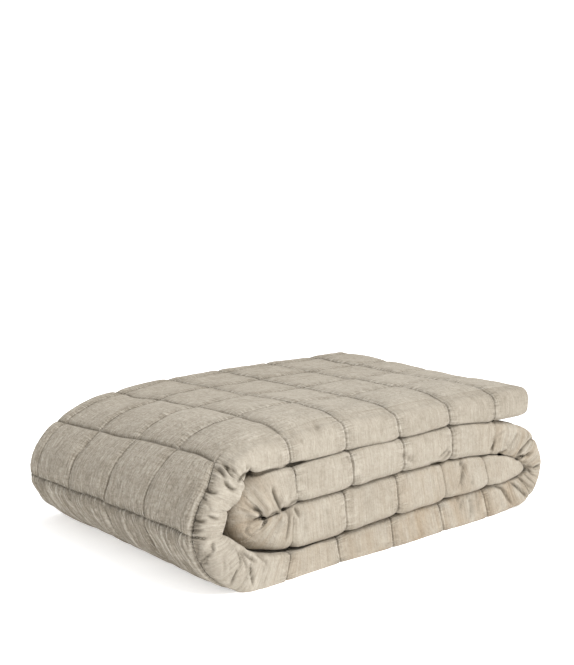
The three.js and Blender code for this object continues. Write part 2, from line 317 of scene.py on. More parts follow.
def spread(low, high, shares):
    """Places between low and high, with the given shares in each square."""
    squares = range(math.floor(low) - 1, math.ceil(high) + 1)
    places = [square + share for square in squares for share in shares]
    return [place for place in places if low + SAME_PLACE < place < high - SAME_PLACE]


def even_shares(count):
    return tuple(k / count for k in range(count))


RIM_STEPS = 40
RIM_ARC = 0.8  # length of the rim's half turn
OUTER_MID = 0.75  # level of an outer thickness's middle, where the strip runs from -1 to 1
INNER_MID = 0.25
HEM_REACH = 0.1  # how deep the rounded hems at the back are
FOLD_REACH = 0.14  # how deep the long fold at the back is
SQUARED = 0.8  # power that squares a half turn off a little; 1 is round


def make_outline():
    line = Outline()
    outer_end = STRIP_DEPTH - HEM_REACH
    for deep in [outer_end] + spread(0, outer_end, FINE_SHARES)[::-1]:
        rows = "fine" if deep < 0.2 else "outer"
        line.add(deep, 1, deep, OUTER_MID, OUTER, rows, -deep)
    # the folded rim, a half turn from the outer face to the inner one; its form is set later
    for step in range(RIM_STEPS + 1):
        line.add(0, 0, 0, 0, RIM, "fine", RIM_ARC * step / RIM_STEPS)
    inner_end = STRIP_DEPTH - FOLD_REACH
    for deep in [0.03, 0.08, 0.15] + spread(0.2, inner_end, even_shares(4)) + [inner_end]:
        rows = "fine" if deep < 0.1 else "inner"
        line.add(deep, -1, deep, -OUTER_MID, INNER, rows, RIM_ARC + deep)
    add_back_fold(line, inner_end)
    add_insides(line)
    return line


def squared(value):
    return math.copysign(abs(value) ** SQUARED, value)


def add_back_fold(line, start):
    """The long fold at the back, which joins the two lower thicknesses."""
    steps = 10
    for step in range(1, steps):
        angle = math.pi * step / steps
        deep = start + FOLD_REACH * math.sin(angle) ** SQUARED
        level = -0.5 - (0.5 - CLOTH_GAP / 2) * squared(math.cos(angle))
        mid_deep = start + FOLD_REACH / 2 * math.sin(angle)
        line.add(deep, level, mid_deep, -0.5 - 0.25 * math.cos(angle), HIDDEN, "back")
    line.add(start, -CLOTH_GAP, start, -INNER_MID, HIDDEN, "back")


def add_slit(line, points):
    """Hidden columns between two thicknesses: way back and level, and the same of the cloth's middle."""
    for deep, level, mid_deep, mid_level in points:
        line.add(deep, level, mid_deep, mid_level, HIDDEN, "slit")


def add_insides(line):
    """The slits between the thicknesses, and the two hems at the back."""
    back = STRIP_DEPTH
    under = 0.5 - CLOTH_GAP
    over = 0.5 + CLOTH_GAP
    slit_end = -0.01
    add_slit(line, [
        (0.1, -CLOTH_GAP, 0.1, -INNER_MID),
        (slit_end, 0, slit_end - 0.05, 0),
        (0.1, CLOTH_GAP, 0.1, INNER_MID),
    ])
    # the inner thickness's hem lies a little short of the outer one
    add_hem(line, back - 0.06, INNER_MID, CLOTH_GAP, under)
    # round the inner fold, back to the long fold, and round the outer doubling to its hem
    fold = -0.06
    turn = fold - 0.01
    add_slit(line, [
        (0, under, 0, INNER_MID),
        (fold * 0.75, 0.3, fold * 0.4, 0.12),
        (fold, 0, fold * 0.5, 0),
        (fold * 0.75, -0.3, fold * 0.4, -0.12),
        (0, -under, 0, -INNER_MID),
        (back - 0.24, -under, back - 0.24, -INNER_MID),
        (back - 0.2, -0.5, back - 0.08, -0.5),
        (back - 0.24, -over, back - 0.24, -OUTER_MID),
        (0, -over, 0, -OUTER_MID),
        (turn * 0.78, -0.34, turn * 0.9, -0.5),
        (turn, 0, turn * 1.2, 0),
        (turn * 0.78, 0.34, turn * 0.9, 0.5),
        (0, over, 0, OUTER_MID),
    ])
    add_hem(line, back, OUTER_MID, over, 1)


def add_hem(line, end, middle, low, high):
    """A rounded cloth edge at the back, from its lower face to its upper one."""
    steps = 8
    half = (high - low) / 2
    centre = (high + low) / 2
    last = steps if high < 1 else steps - 1
    for step in range(last + 1):
        angle = math.pi * step / steps
        deep = end - HEM_REACH + HEM_REACH * math.sin(angle) ** SQUARED
        line.add(deep, centre - half * squared(math.cos(angle)), end - HEM_REACH, middle, HIDDEN, "back")


FIRST_END = SECTIONS[0, SEAM]
LAST_END = SECTIONS[-1, SEAM]


def row_places(kind):
    """Places along the strip that get a point, for one kind of column."""
    fine = FINE_SHARES
    crowded = CROWDED_SHARES
    stretches = {
        "fine": [(0, 5.4, fine), (5.4, 8.8, crowded), (8.8, 13.2, fine), (13.2, 16, crowded),
                 (16, 20, fine), (20, 23.2, crowded), (23.2, 28, fine)],
        "outer": [(0, 8.4, fine), (8.4, 13.2, even_shares(3)), (13.2, 16.2, even_shares(12)),
                  (16.2, 20.1, even_shares(3)), (20.1, 22.9, even_shares(8)), (22.9, 28, even_shares(3))],
        "inner": [(0, 2, even_shares(8)), (2, 5, even_shares(4)), (5, 8.5, even_shares(8)),
                  (8.5, 28, even_shares(4))],
        "slit": [(0, 28, even_shares(4))],
        "back": [(0, 28, BACK_SHARES)],
    }
    ends = (0, 0.015, 0.04, 0.08, 0.13, HEM_ROUND)
    inside = []
    for low, high, shares in stretches[kind]:
        inside += spread(low - 2 * SAME_PLACE, high - 2 * SAME_PLACE, shares)
    reach = ends[-1] + 0.02
    inside = [place for place in inside if FIRST_END + reach < place < LAST_END - reach]
    return np.array([FIRST_END + end for end in ends] + inside + [LAST_END - end for end in ends[::-1]])


def to_end(seam):
    """Way to the nearer end of the strip."""
    return np.minimum(seam - FIRST_END, LAST_END - seam)


def hem_share(seam):
    """The cloth's ends are hems: each thickness thins out towards its own middle."""
    inside = np.clip(to_end(seam) / HEM_ROUND, 0, 1)
    return HEM_THIN + (1 - HEM_THIN) * np.sqrt(1 - (1 - inside) ** 2)


def openness(seam):
    """How open the outer face lies: 1 on the top and round the folds, 0 between layers and on the floor."""
    to_floor = 1 - smoothstep(seam, 7.9, 8.3)
    right_fold = between(seam, 13.3, 13.9, 15.9, 16.4)
    inner_fold = between(seam, 20.3, 20.8, 22.2, 22.7)
    return np.maximum(to_floor, np.maximum(right_fold, inner_fold))


def inner_layers(seam):
    """1 on the second and the third layer."""
    return smoothstep(seam, 15.6, 16.2) * (1 - openness(seam))


def outer_fold(seam):
    """1 where the rim runs round the big fold at the left."""
    return between(seam, 5.7, 6.4, 7.7, 8.4)


def crowding(seam):
    """1 where the rim's cloth is squeezed, inside the fold at the left and the one at the right."""
    return between(seam, 5.4, 6.2, 8.6, 9.2) + between(seam, 12.8, 13.8, 15.8, 16.3)


def inner_curve(seam, deep):
    """The strip's inner edge: plain far back, in lobes at the rim."""
    x = hermite(SECTIONS, IN_X, seam)
    z = hermite(SECTIONS, IN_Z, seam)
    near = 1 - smoothstep(deep, 0.02, 0.55)
    for lobes in (OUTER_FOLD_LOBES, INNER_FOLD_LOBES):
        here = (seam > lobes[0, 0]) & (seam < lobes[-1, 0])
        share = np.where(here, near, 0)
        x = x + share * (hermite(lobes, 1, seam) - x)
        z = z + share * (hermite(lobes, 2, seam) - z)
    return x, z


def shape_rim(c):
    """Rolls the skin's places round the rim, whose long seam wanders a little along the skin."""
    seam = c["seam"]
    across = c["across"]
    slide = np.where(across < 0, np.clip(1 + across, 0, 1), np.clip(1 - across / RIM_ARC, 0, 1)) ** 2
    skin = across + hermite(FRONT_SEAM, 1, seam) * slide
    moved = (c["face"] == RIM) | ((c["face"] == OUTER) & (across > -1))
    turn = np.where(moved, np.clip(skin, 0, RIM_ARC) / RIM_ARC * math.pi, 0)
    folded = outer_fold(seam)
    layers = inner_layers(seam)
    top_layer = 1 - smoothstep(seam, 5.0, 5.8)
    loose = np.maximum(folded, top_layer)
    first = turn < math.pi / 2
    # powers near 1 make the half turn round, and low ones square it off
    rounded = 0.45 + 0.25 * openness(seam) + 0.15 * loose + 0.35 * layers
    under = 0.42 + 0.2 * folded + 0.12 * np.maximum(top_layer, layers)
    forward_power = np.where(first, rounded, under)
    level_power = np.where(first, 0.45 + 0.2 * openness(seam) + 0.3 * loose, 0.42 + 0.2 * folded)
    forward = np.clip(np.sin(turn), 0, 1) ** forward_power
    reach = hermite(RIM_FORM, RIM_REACH, seam) * forward
    level = np.sign(np.cos(turn)) * np.abs(np.cos(turn)) ** level_power
    on_face = moved & (skin <= 0)
    on_rim = moved & (skin > 0)
    c["deep"] = np.where(on_face, -skin, np.where(on_rim, -reach, c["deep"]))
    c["mid_deep"] = np.where(on_face, -skin, np.where(on_rim, -0.78 * reach, c["mid_deep"]))
    c["level"] = np.where(on_face, 1, np.where(on_rim, level, c["level"]))
    c["mid_level"] = np.where(on_face, OUTER_MID, np.where(on_rim, OUTER_MID * level, c["mid_level"]))
    c["turn"] = turn


def wandered(c):
    """The cloth's grid slid along the skin, so that no seam runs straight: seam and way to the back."""
    seam = c["seam"]
    across = c["across"]
    share = between(across, -4.2, -3.9, 0.45, 0.78) * np.isin(c["face"], (OUTER, RIM))
    share = share * smoothstep(to_end(seam), 0, 0.5)
    share = share * (1 - 0.45 * smoothstep(across, -0.3, 0.1)) * (1 - 0.45 * smoothstep(seam, 5.4, 6.0))
    along = 0.035 * noise(seam * 1.3, across * 1.7 + 9, 71) + 0.012 * noise(seam * 3.1, across * 5.2, 73)
    back = 0.035 * noise(seam * 1.7 + 5, across * 1.3, 75) + 0.012 * noise(seam * 5.2, across * 3.1, 77)
    return seam + along * share, back * share * smoothstep(-across, 0.1, 0.6)


def plain_form(c):
    """The folded strip before its squares, puckers and creases."""
    seam, slide = wandered(c)
    share = hem_share(seam)
    on_floor = between(seam, 8.2, 9, 12.8, 13.5)
    floor_half = (c["face"] == RIM) & (c["turn"] <= math.pi / 2)
    squashed = np.abs(c["level"]) ** 0.5
    level = np.where(floor_half, c["level"] + (squashed - c["level"]) * on_floor, c["level"])
    level = c["mid_level"] + (level - c["mid_level"]) * share
    deep = c["mid_deep"] + (c["deep"] - c["mid_deep"]) * share + slide
    out_x = hermite(SECTIONS, OUT_X, seam)
    out_z = hermite(SECTIONS, OUT_Z, seam)
    in_x, in_z = inner_curve(seam, c["deep"])
    behind = np.maximum(deep, 0)
    out_x = out_x + hermite(RIM_FORM, OUTER_STEP, seam) * np.exp(-behind / 0.5)
    x = (out_x + in_x) / 2 + (out_x - in_x) / 2 * level
    z = (out_z + in_z) / 2 + (out_z - in_z) / 2 * level
    upper = level * (out_z - in_z) / np.hypot(out_x - in_x, out_z - in_z)
    y = deep + hermite(RIM_FORM, RIM_BACK, seam) * np.exp(-behind)
    y = y + hermite(RIM_FORM, LEAN, seam) * upper * np.exp(-behind / 0.3)
    z = z - hermite(RIM_FORM, DROP, seam) * np.exp(-behind / 0.22) * np.clip((upper + 1) / 2, 0, 1)
    return raise_back(x, y, z)


# Rise of the top's back edge: x, rise
BACK_RISE = np.array([
    (-2, -0.14), (-1, -0.13), (0, -0.1), (1, -0.05), (2, 0), (3.8, 0), (4.3, 0.04), (4.7, 0.08),
    (5.1, 0.13),
])
LEFT_FOLD_TWIST = 0.07  # how far the left fold's upper half stands out more at the back than at the front


def raise_back(x, y, z):
    height = np.clip((z - 0.3) / 1.6, 0, 1)
    backwards = smoothstep(y, 1, STRIP_DEPTH)
    left = np.clip((-0.2 - x) / 0.8, 0, 1)
    x = x - LEFT_FOLD_TWIST * left * backwards * np.clip(z - 1, -1, 0.6)
    return np.stack([x, y, z + linear(BACK_RISE, x) * height * backwards], -1)


def uneven(seam, cross):
    """Small unevenness from square to square."""
    return 1 + 0.25 * lattice(np.floor(seam), np.floor(cross), 5)


def front_seam_strength(seam):
    """How deep the long seam along the front is drawn in."""
    return 0.1 + 0.9 * between(seam, 5.75, 6.05, 8.1, 8.4)


def square_shape(c):
    """What the faces and the rim share: how the squares are puffed and how strongly their seams draw in."""
    seam = c["seam"]
    across = c["across"]
    on_rim = smoothstep(across, -0.12, 0.1)
    strength = 1 + (at_each_seam(RIM_SEAM_STRENGTH, seam) - 1) * on_rim
    return {
        "seamed": front_seam_strength(seam),
        "near_front": bell(across, FRONT_REACH),
        "puff": PUFF_TOP + (PUFF_FACE - PUFF_TOP) * smoothstep(seam, 5.3, 6.2),
        "along_crown": 1 - strength * (1 - crown(seam) * (1 - on_rim) - crown(seam, 15) * on_rim),
        "thread": strength * bell(from_seam(seam), THREAD_REACH),
    }


def face_dents(c, shape):
    """The outer face: crowned squares where it lies open, and plain grooves where a layer presses on it."""
    seam = c["seam"]
    across = c["across"]
    open_here = openness(seam)
    missing = (1 - shape["seamed"]) * shape["near_front"]
    across_crown = crown(across) + missing * (1 - crown(across))
    pressed = np.maximum(groove(seam), groove(across) * (1 - shape["near_front"]))
    thread_long = bell(from_seam(across), THREAD_REACH) * (1 - missing * 0.8)
    out = open_here * shape["puff"] * shape["along_crown"] * across_crown * uneven(seam, across)
    out = out - (1 - open_here) * GROOVE_PRESSED * pressed
    out = out - 0.7 * open_here * STITCH_DENT * np.maximum(shape["thread"], thread_long)
    # long slanting folds between the last seam on the left and the floor
    low = between(seam, 6.98, 7.15, 8.1, 8.3)
    slant = across - 0.3 * (seam - 7)
    out = out + low * 0.022 * ridges(slant * 5.0, seam * 0.9, 41) * (1 - 0.6 * thread_long)
    upright = between(seam, 6.3, 6.9, 6.97, 7.03)
    out = out + upright * 0.012 * ridges(across * 9 + 0.3 * seam, seam * 1.1, 43)
    out = out + open_here * 0.012 * noise(seam * 2.1, across * 2.3, 51)
    return out + open_here * 0.004 * noise(seam * 6.0, across * 5.0, 53)


def rim_dents(c, shape):
    """The folded rim: crowned squares, dents of the seams, and waves where the cloth is squeezed."""
    seam = c["seam"]
    across = c["across"]
    turn = c["turn"]
    open_here = openness(seam)
    seamed = shape["seamed"]
    first = turn < math.pi / 2
    forward = np.clip(np.sin(turn), 0, 1)
    side = open_here + (1 - open_here) * (0.38 + 0.62 * forward ** 2)
    side = np.where(first, side, 1 - 0.62 * smoothstep(turn, 0.7 * math.pi, math.pi))
    start = open_here * shape["puff"] * (1 - seamed)
    out = (start + (PUFF_RIM * side - start) * (1 - bell(across, 0.1))) * shape["along_crown"]
    out = out * (1 + 0.2 * lattice(np.floor(seam), np.full(len(seam), 3), 7))
    out = out - STITCH_DENT * shape["thread"] * (0.2 + 0.35 * forward)
    out = out - STITCH_DENT * seamed * bell(across, THREAD_REACH) * open_here
    crowded = crowding(seam) + 0.2 * between(seam, 20.2, 20.6, 22.8, 23.4)
    wave = ridges(seam * 7.0 + 0.15 * turn, turn * 0.55, 61)
    out = out + (0.002 + 0.007 * crowded) * wave * (0.3 + 0.7 * forward)
    soft = 0.016 * noise(seam * 1.9, turn * 0.8, 63) + 0.008 * noise(seam * 4.3, turn * 1.7, 65)
    return out + soft * forward + slit_closing(seam, turn, first)


def slit_closing(seam, turn, first):
    """Layers that rest on each other bulge and close the slit between their rims, but for the seams."""
    rests_above = inner_layers(seam)
    on_second = 1 - smoothstep(seam, 5.0, 5.6)
    on_floor = between(seam, 8.9, 9.4, 12.8, 13.3)
    rests_below = np.maximum(np.maximum(rests_above, on_second), on_floor)
    corner = np.sin(2 * turn) ** 2 * np.where(first, rests_above, rests_below)
    closing = 0.017 + 0.018 * smoothstep(seam, 22.6, 23.2) * first
    return corner * crown(seam, 5) * (closing + 0.014 * noise(seam * 2.6, turn * 0.9 + 3, 67))


def dents(c):
    """How far each point of the skin stands out from the plain form, in squares."""
    seam = c["seam"]
    face = c["face"]
    shape = square_shape(c)
    inner = -GROOVE_PRESSED * np.maximum(groove(seam), groove(c["across"]))
    at_back = (face == HIDDEN) & (c["deep"] > STRIP_DEPTH - 0.17)
    back = at_back * (0.012 * crown(seam, 4) - 0.008 * bell(from_seam(seam), 0.02))
    outward = [face_dents(c, shape), rim_dents(c, shape), inner]
    out = np.select([face == OUTER, face == RIM, face == INNER], outward, back)
    return out * (hem_share(seam) - HEM_THIN) / (1 - HEM_THIN)


# Creases and ridges on the front, each placed where the photograph shows it. Points are x and z, in
# squares, where the camera sees them on the upright plane y = CREASE_PLANE; then depth, below 0 for a ridge,
# reach to each side, and how dark the fold is.
CREASE_PLANE = -0.15
CREASES = [
    # wrap of the outer fold at the left front
    ([(-1.121, 1.636), (-1.059, 1.582), (-1.005, 1.522), (-0.959, 1.457), (-0.904, 1.4)], 0.06, 0.08, 0.75),
    ([(-1.144, 1.62), (-1.09, 1.568), (-1.021, 1.493), (-0.951, 1.42), (-0.873, 1.379)], -0.03, 0.045, 0),
    ([(-0.997, 1.591), (-0.95, 1.533), (-0.919, 1.464)], 0.03, 0.08, 0.1),
    ([(-0.779, 1.597), (-0.756, 1.535), (-0.729, 1.485)], -0.022, 0.035, 0),
    ([(-0.736, 1.539), (-0.705, 1.482)], 0.02, 0.03, 0.4),
    ([(-1.213, 1.593), (-1.145, 1.551), (-1.091, 1.491), (-1.045, 1.426)], 0.045, 0.07, 0.35),
    ([(-1.072, 1.405), (-1.033, 1.344), (-0.987, 1.295), (-0.944, 1.267), (-0.873, 1.255)],
     0.035, 0.05, 0.75),
    ([(-1.022, 1.39), (-0.968, 1.33), (-0.905, 1.3)], -0.02, 0.045, 0),
    ([(-1.398, 1.345), (-1.323, 1.313), (-1.247, 1.284), (-1.178, 1.263)], 0.05, 0.06, 0.7),
    ([(-1.414, 1.259), (-1.384, 1.229), (-1.347, 1.2)], 0.03, 0.045, 0.4),
    ([(-1.37, 1.182), (-1.31, 1.12), (-1.264, 1.048)], 0.015, 0.04, 0.2),
    ([(-1.334, 1.004), (-1.265, 0.966), (-1.204, 0.938), (-1.15, 0.925)], 0.02, 0.035, 0.6),
    ([(-1.326, 1.028), (-1.25, 0.988), (-1.158, 0.959)], -0.012, 0.03, 0),
    ([(-1.545, 0.992), (-1.485, 0.958), (-1.418, 0.937), (-1.365, 0.932)], 0.045, 0.055, 0.7),
    ([(-1.598, 0.87), (-1.524, 0.848), (-1.449, 0.828), (-1.389, 0.823)], 0.03, 0.05, 0.35),
    ([(-1.585, 0.779), (-1.51, 0.758), (-1.435, 0.73), (-1.352, 0.711)], 0.03, 0.04, 0.75),
    ([(-1.598, 0.92), (-1.433, 0.883)], 0.02, 0.05, 0.15),
    ([(-1.238, 0.653), (-1.269, 0.595), (-1.242, 0.544), (-1.277, 0.5)], 0.02, 0.04, 0.45),
    ([(-1.207, 0.627), (-1.215, 0.551), (-1.247, 0.481)], -0.02, 0.04, 0),
    ([(-1.285, 0.495), (-1.362, 0.472), (-1.416, 0.445), (-1.461, 0.41)], 0.04, 0.06, 0.45),
    ([(-1.315, 0.533), (-1.4, 0.493), (-1.461, 0.455)], -0.025, 0.04, 0),
    ([(-1.347, 0.45), (-1.378, 0.38)], 0.04, 0.09, 0.15),
    ([(-1.322, 0.65), (-1.391, 0.587), (-1.453, 0.511)], -0.015, 0.05, 0),
    ([(-1.496, 0.71), (-1.504, 0.61), (-1.498, 0.507)], 0.03, 0.1, 0.1),
    ([(-0.856, 0.222), (-0.897, 0.165), (-0.942, 0.102), (-0.977, 0.038)], 0.035, 0.045, 0.65),
    ([(-0.904, 0.213), (-0.952, 0.144), (-0.992, 0.088)], -0.015, 0.03, 0),
    ([(-0.671, 0.215), (-0.65, 0.118), (-0.623, -0.008), (-0.618, -0.05)], 0.04, 0.045, 0.7),
    ([(-0.711, 0.224), (-0.688, 0.099), (-0.664, 0.001)], -0.018, 0.035, 0),
    ([(-0.839, 0.468), (-0.783, 0.371), (-0.735, 0.269), (-0.696, 0.141)], 0.03, 0.05, 0.3),
    ([(-0.973, 0.541), (-0.903, 0.468), (-0.863, 0.381), (-0.843, 0.278)], -0.025, 0.04, 0),
    ([(-0.918, 0.51), (-0.847, 0.404), (-0.816, 0.299), (-0.808, 0.205)], 0.035, 0.05, 0.4),
    ([(-0.807, 0.442), (-0.719, 0.371), (-0.638, 0.301), (-0.556, 0.237)], 0.035, 0.06, 0.4),
    ([(-0.588, 0.377), (-0.49, 0.303), (-0.407, 0.219), (-0.366, 0.136)], 0.03, 0.06, 0.25),
    ([(-0.735, 0.42), (-0.638, 0.347), (-0.54, 0.274)], -0.015, 0.04, 0),
    ([(-0.474, 0.213), (-0.424, 0.095), (-0.408, -0.016)], 0.015, 0.05, 0.05),
    ([(-1.1, 0.463), (-1.07, 0.314), (-1.079, 0.159)], 0.018, 0.05, 0.1),
    ([(-1.006, 0.404), (-0.975, 0.267), (-1, 0.142)], 0.018, 0.05, 0.12),
    # inner fold
    ([(-0.288, 1.178), (-0.255, 1.053), (-0.205, 0.977), (-0.183, 0.92), (-0.154, 0.868)], 0.05, 0.07, 0.75),
    ([(-0.197, 0.949), (-0.163, 0.869), (-0.112, 0.856), (-0.069, 0.879)], 0.02, 0.05, 0.9),
    ([(-0.069, 0.879), (-0.018, 0.89), (0.025, 0.923), (0.076, 0.941), (0.137, 0.944), (0.224, 0.908)],
     0.004, 0.04, 0.55),
    ([(-0.103, 1.053), (-0.095, 0.944)], -0.045, 0.09, 0),
    ([(0.05, 1.108), (0.037, 1.029), (0.007, 0.953)], -0.015, 0.035, 0),
    ([(0.068, 0.875), (0.128, 0.783), (0.181, 0.691)], 0.05, 0.08, 0.35),
    ([(-0.01, 0.855), (0.068, 0.76), (0.155, 0.662), (0.207, 0.563)], -0.022, 0.04, 0),
    ([(-0.171, 0.844), (-0.256, 0.846), (-0.314, 0.83), (-0.364, 0.799), (-0.398, 0.785)], 0.008, 0.04, 0.6),
    ([(-0.398, 0.785), (-0.455, 0.801), (-0.497, 0.814)], 0.03, 0.05, 0.8),
    ([(-0.493, 0.816), (-0.483, 0.854), (-0.504, 0.9), (-0.562, 0.934), (-0.635, 0.97)], 0.05, 0.06, 1),
    ([(-0.497, 0.814), (-0.554, 0.814), (-0.603, 0.803)], 0.03, 0.05, 0.6),
    ([(-0.398, 0.785), (-0.423, 0.723), (-0.464, 0.665), (-0.472, 0.64)], 0.04, 0.06, 0.8),
    ([(-0.7, 0.907), (-0.603, 0.882), (-0.537, 0.867)], -0.06, 0.06, 0),
    ([(-0.438, 1.044), (-0.372, 0.953), (-0.364, 0.872)], -0.05, 0.08, 0),
    ([(-0.205, 0.816), (-0.138, 0.764), (-0.104, 0.663)], -0.045, 0.09, 0),
    ([(-0.521, 0.755), (-0.555, 0.656)], -0.035, 0.06, 0),
    ([(-0.339, 0.734), (-0.373, 0.634)], -0.025, 0.05, 0),
    ([(-0.676, 0.824), (-0.701, 0.736), (-0.733, 0.677), (-0.693, 0.63), (-0.588, 0.576)],
     0.018, 0.045, 0.3),
    ([(-0.587, 0.781), (-0.644, 0.719), (-0.709, 0.685)], -0.02, 0.03, 0),
    ([(-0.03, 0.811), (-0.013, 0.741), (-0.01, 0.645), (-0.03, 0.554), (-0.07, 0.426)], 0.025, 0.05, 0.4),
    ([(-0.104, 0.845), (-0.052, 0.809), (-0.018, 0.742)], 0.015, 0.03, 0.2),
    ([(-0.857, 1.338), (-0.809, 1.395), (-0.745, 1.43), (-0.681, 1.432), (-0.6, 1.403)], 0.025, 0.05, 1),
    ([(-0.681, 1.429), (-0.584, 1.398), (-0.503, 1.394), (-0.404, 1.411), (-0.271, 1.42), (-0.188, 1.427)],
     0.02, 0.04, 0.6),
    ([(-0.12, 1.44), (-0.035, 1.433), (0.084, 1.439), (0.258, 1.453)], 0.02, 0.04, 0.7),
    ([(-0.65, 1.199), (-0.553, 1.097), (-0.479, 0.992)], 0.02, 0.08, 0),
    ([(-0.471, 1.189), (-0.388, 1.102)], 0.018, 0.06, 0.1),
    ([(-0.763, 1.062), (-0.651, 0.97)], 0.02, 0.05, 0),
    ([(-0.827, 0.995), (-0.7, 0.913)], 0.018, 0.04, 0),
    ([(0.277, 0.632), (0.243, 0.488), (0.19, 0.347)], 0.015, 0.06, 0),
    # layers
    ([(0.432, 1.97), (0.485, 1.882), (0.539, 1.793)], 0.03, 0.06, 0.15),
    ([(1.5, 2.102), (1.637, 2.058), (1.716, 2.006)], 0.02, 0.05, 0.2),
    ([(2.087, 1.279), (2.231, 1.184), (2.357, 1.106)], 0.03, 0.06, 0.3),
    ([(2.268, 1.458), (2.454, 1.491), (2.624, 1.393)], 0.012, 0.08, 0),
    ([(0.904, 1.411), (0.979, 1.302), (0.943, 1.196)], 0.012, 0.06, 0),
    ([(3.332, 0.957), (3.404, 0.792), (3.385, 0.672), (3.319, 0.59)], 0.04, 0.07, 0.35),
    ([(3.481, 0.469), (3.577, 0.297), (3.584, 0.06)], 0.014, 0.05, 0.05),
    ([(4.179, 1.224), (4.326, 1.156), (4.45, 1.059), (4.576, 0.961)], 0.02, 0.06, 0.15),
    ([(-0.614, 1.987), (-0.468, 1.889), (-0.37, 1.771)], 0.014, 0.09, 0),
    ([(-0.035, 1.99), (0.033, 1.874), (-0.001, 1.746)], 0.012, 0.08, 0),
    ([(0.699, 1.949), (0.828, 1.795)], 0.012, 0.08, 0),
    ([(2.444, 1.948), (2.531, 1.805), (2.492, 1.663)], 0.012, 0.09, 0),
    ([(0.276, 1.328), (0.329, 1.184), (0.294, 1.053)], 0.012, 0.07, 0),
    ([(1.382, 0.727), (1.5, 0.591), (1.463, 0.425)], 0.012, 0.08, 0),
    ([(0.616, 0.749), (0.708, 0.593), (0.69, 0.429)], 0.012, 0.08, 0),
    ([(0.38, 1.98), (0.44, 1.89), (0.52, 1.82)], 0.021, 0.09, 0.15),
    ([(0.1, 1.82), (0.22, 1.72), (0.32, 1.64)], 0.015, 0.09, 0.1),
    ([(-0.15, 1.62), (-0.18, 1.53), (-0.17, 1.46)], 0.015, 0.042, 0.16),
    ([(0.98, 1.42), (1.1, 1.33), (1.18, 1.2)], 0.015, 0.06, 0.16),
    ([(2.3, 1.22), (2.32, 1.12)], 0.015, 0.048, 0.16),
    ([(2.88, 1.1), (3.0, 1.175), (3.08, 1.21)], 0.016, 0.05, 0.5),
    ([(2.95, 1.06), (3.06, 1.12), (3.13, 1.2)], 0.016, 0.05, 0.5),
    ([(2.66, 1.04), (2.82, 1.035), (2.94, 1.05)], 0.016, 0.05, 0.5),
    ([(4.156, 1.196), (4.09, 1.095), (4.044, 1.02)], 0.045, 0.054, 0.47),
    ([(4.2, 0.96), (4.34, 0.97), (4.45, 1.0)], 0.038, 0.054, 0.39),
    ([(3.32, 1.02), (3.425, 0.866), (3.43, 0.68), (3.39, 0.547)], 0.075, 0.078, 0.54),
    ([(3.686, 0.497), (3.66, 0.58), (3.59, 0.654)], 0.024, 0.042, 0.25),
    ([(3.48, 0.454), (3.6, 0.308), (3.627, 0.162), (3.585, 0.03)], 0.03, 0.066, 0.28),
    ([(3.256, 0.462), (3.372, 0.302), (3.377, 0.146)], 0.027, 0.06, 0.28),
    ([(3.36, 0.46), (3.47, 0.28), (3.5, 0.08)], 0.018, 0.048, 0.19),
    ([(3.68, 0.46), (3.78, 0.3), (3.8, 0.1)], 0.024, 0.054, 0.25),
    ([(3.9, 0.38), (4.02, 0.22), (4.0, 0.06)], 0.021, 0.048, 0.22),
    # fold at the right
    ([(4.655, 0.837), (4.8, 0.945), (5.0, 1.063), (5.12, 1.11)], 0.06, 0.066, 0.57),
    ([(4.63, 0.824), (4.8, 0.83), (4.95, 0.841), (5.08, 0.855)], 0.068, 0.06, 0.7),
    ([(5.09, 0.59), (5.22, 0.62), (5.3, 0.625)], 0.053, 0.048, 0.54),
    ([(4.9, 0.66), (5.07, 0.62), (5.15, 0.62)], 0.03, 0.048, 0.31),
    ([(4.91, 0.635), (5.07, 0.51), (5.175, 0.446)], 0.024, 0.048, 0.25),
    ([(4.85, 0.56), (5.02, 0.43), (5.13, 0.36)], 0.021, 0.042, 0.22),
    ([(4.72, 0.5), (4.95, 0.35), (5.1, 0.26)], 0.018, 0.042, 0.19),
    ([(4.52, 0.47), (4.72, 0.34), (4.96, 0.15)], 0.045, 0.054, 0.47),
    ([(4.13, 0.486), (4.33, 0.4), (4.48, 0.22), (4.61, 0.08)], 0.051, 0.06, 0.53),
    ([(4.33, 0.42), (4.45, 0.29), (4.56, 0.14)], 0.036, 0.048, 0.37),
    ([(4.03, 1.2), (4.25, 1.27), (4.42, 1.33)], 0.015, 0.06, 0.16),
    ([(4.4, 0.97), (4.55, 1.08), (4.7, 1.24)], 0.021, 0.066, 0.2),
]


def seen_on_plane(places):
    """Where the camera sees each place on the plane y = CREASE_PLANE, as x and z."""
    eye = np.array(CAMERA_SQUARES)
    t = (CREASE_PLANE - eye[1]) / (places[:, 1] - eye[1])
    return eye[[0, 2]] + t[:, None] * (places[:, [0, 2]] - eye[[0, 2]])


def near_line(seen, line):
    """Distance from each seen place to a broken line, and how far along it that nearest point is, 0 to 1."""
    line = np.array(line, float)
    lengths = np.hypot(*np.diff(line, axis=0).T)
    total = lengths.sum()
    best = np.full(len(seen), 1e9)
    along = np.zeros(len(seen))
    passed = 0.0
    for start, end, length in zip(line[:-1], line[1:], lengths):
        way = (end - start) / length
        t = np.clip((seen - start) @ way, 0, length)
        distance = np.hypot(*(seen - start - t[:, None] * way).T)
        closer = distance < best
        best = np.where(closer, distance, best)
        along = np.where(closer, (passed + t) / total, along)
        passed += length
    return best, along


